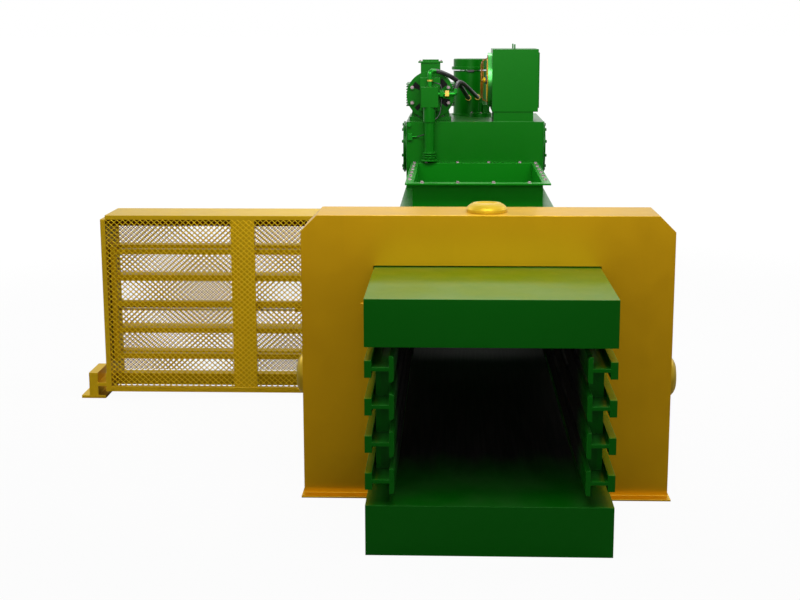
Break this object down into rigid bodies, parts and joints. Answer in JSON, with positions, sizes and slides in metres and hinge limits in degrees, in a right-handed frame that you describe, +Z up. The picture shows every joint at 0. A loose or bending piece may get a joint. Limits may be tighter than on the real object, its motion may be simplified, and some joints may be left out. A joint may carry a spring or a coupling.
{
  "type": "recycling baler",
  "caption": "Horizontal baler: ram press with hopper collar, squeezed slatted bale channel in a yellow arch, needle cage at the side and power pack on the tank.",
  "frame": {"origin": "on the floor under the middle of the bale channel's open end", "axes": "+Y along the machine from the channel's open end to the ram cylinder, +X to the right seen from that end, +Z up"},
  "size_m": [4.563, 9.95, 2.8619],
  "materials": {
    "green_paint": "gloss enamel on welded steel",
    "yellow_paint": "satin enamel on welded steel",
    "pale_green_paint": "satin enamel",
    "orange_paint": "satin enamel on wire",
    "bare_steel": "machined",
    "chromed_rod": "polished",
    "plated_bolts": "zinc plated",
    "brass": "machined",
    "black_rubber": "matt",
    "grey_plastic": "moulded"
  },
  "bodies": {
    "frame": {"channel_floor": "green_paint", "tying_walls": "green_paint", "tying_roof": "green_paint", "press_base": "green_paint", "press_sides": "green_paint", "press_top_plate": "green_paint", "rear_crosshead": "green_paint", "hopper_collar": "green_paint", "oil_tank": "green_paint", "manway_covers": "green_paint", "manway_bolts": "green_paint", "motor_body": "green_paint", "motor_end_covers": "green_paint", "motor_feet": "green_paint", "terminal_box": "green_paint", "pump": "green_paint", "suction_pipe": "green_paint", "delivery_fittings": "green_paint", "filter_body": "green_paint", "filter_lid": "green_paint", "return_fitting": "green_paint", "cooler_box": "green_paint", "level_switch": "green_paint", "main_cylinder": "green_paint", "lifting_eyes": "green_paint", "squeeze_arch": "yellow_paint", "squeeze_caps": "yellow_paint", "cage_plates": "yellow_paint", "cage_front_frame": "yellow_paint", "cage_rear_rails": "yellow_paint", "cage_front_mesh": "yellow_paint", "cage_back_mesh": "yellow_paint", "cage_foot": "yellow_paint", "needle_cylinder_barrel": "yellow_paint", "twister_housing": "yellow_paint", "hinge_pins": "bare_steel", "shear_blade": "bare_steel", "squeeze_barrels": "bare_steel", "hopper_bolts": "plated_bolts", "brass_fittings": "brass", "pressure_hoses": "black_rubber", "control_cables": "black_rubber", "fan_ring": "pale_green_paint", "fan_guard": "orange_paint"},
    "lid": {"channel_lid": "green_paint"},
    "left_wall": {"channel_wall_left": "green_paint"},
    "right_wall": {"channel_wall_right": "green_paint"},
    "top_squeeze_rod": {"squeeze_rod_top": "chromed_rod"},
    "left_squeeze_rod": {"squeeze_rod_left": "chromed_rod"},
    "right_squeeze_rod": {"squeeze_rod_right": "chromed_rod"},
    "ram": {"ram_box": "green_paint", "ram_knife": "bare_steel", "ram_wear_strips": "brass", "ram_rod": "chromed_rod"},
    "needle_unit": {"needles": "yellow_paint", "needle_carriage": "yellow_paint", "needle_cylinder_rod": "chromed_rod"},
    "needle_stage": {"needle_cylinder_stage": "chromed_rod"},
    "rotor": {"motor_rotor": "bare_steel"},
    "fan": {"cooler_fan": "grey_plastic"}
  },
  "joints": [
    {"name": "lid_hinge", "type": "hinge", "parent": "frame", "child": "lid", "pos_m": [0, 3.19, 1.39], "axis": [1, 0, 0], "range_deg": [0, 0.7]},
    {"name": "left_wall_hinge", "type": "hinge", "parent": "frame", "child": "left_wall", "pos_m": [-0.631, 3.16, 0.7855], "axis": [0, 0, 1], "range_deg": [0, 0.8]},
    {"name": "right_wall_hinge", "type": "hinge", "parent": "frame", "child": "right_wall", "pos_m": [0.631, 3.16, 0.7855], "axis": [0, 0, -1], "range_deg": [0, 0.8]},
    {"name": "top_squeeze", "type": "slide", "parent": "frame", "child": "top_squeeze_rod", "axis": [0, 0, -1], "range_m": [0, 0.0225]},
    {"name": "left_squeeze", "type": "slide", "parent": "frame", "child": "left_squeeze_rod", "axis": [1, 0, 0], "range_m": [0, 0.025]},
    {"name": "right_squeeze", "type": "slide", "parent": "frame", "child": "right_squeeze_rod", "axis": [-1, 0, 0], "range_m": [0, 0.025]},
    {"name": "ram_stroke", "type": "slide", "parent": "frame", "child": "ram", "axis": [0, -1, 0], "range_m": [0, 2.7]},
    {"name": "needle_feed", "type": "slide", "parent": "frame", "child": "needle_unit", "axis": [1, 0, 0], "range_m": [0, 1.45]},
    {"name": "needle_stage_feed", "type": "slide", "parent": "frame", "child": "needle_stage", "axis": [1, 0, 0], "range_m": [0, 0.725]},
    {"name": "rotor_spin", "type": "hinge", "parent": "frame", "child": "rotor", "pos_m": [-0.467, 7.3, 2.336], "axis": [0, 1, 0], "continuous": true},
    {"name": "fan_spin", "type": "hinge", "parent": "frame", "child": "fan", "pos_m": [0.15, 7.2, 2.488], "axis": [1, 0, 0], "continuous": true}
  ],
  "couplings": [
    {"joint": "top_squeeze", "follows": "lid_hinge", "m_per_rad": 1.775},
    {"joint": "left_squeeze", "follows": "left_wall_hinge", "m_per_rad": 1.745},
    {"joint": "right_squeeze", "follows": "right_wall_hinge", "m_per_rad": 1.745},
    {"joint": "needle_stage_feed", "follows": "needle_feed", "ratio": 0.5}
  ]
}
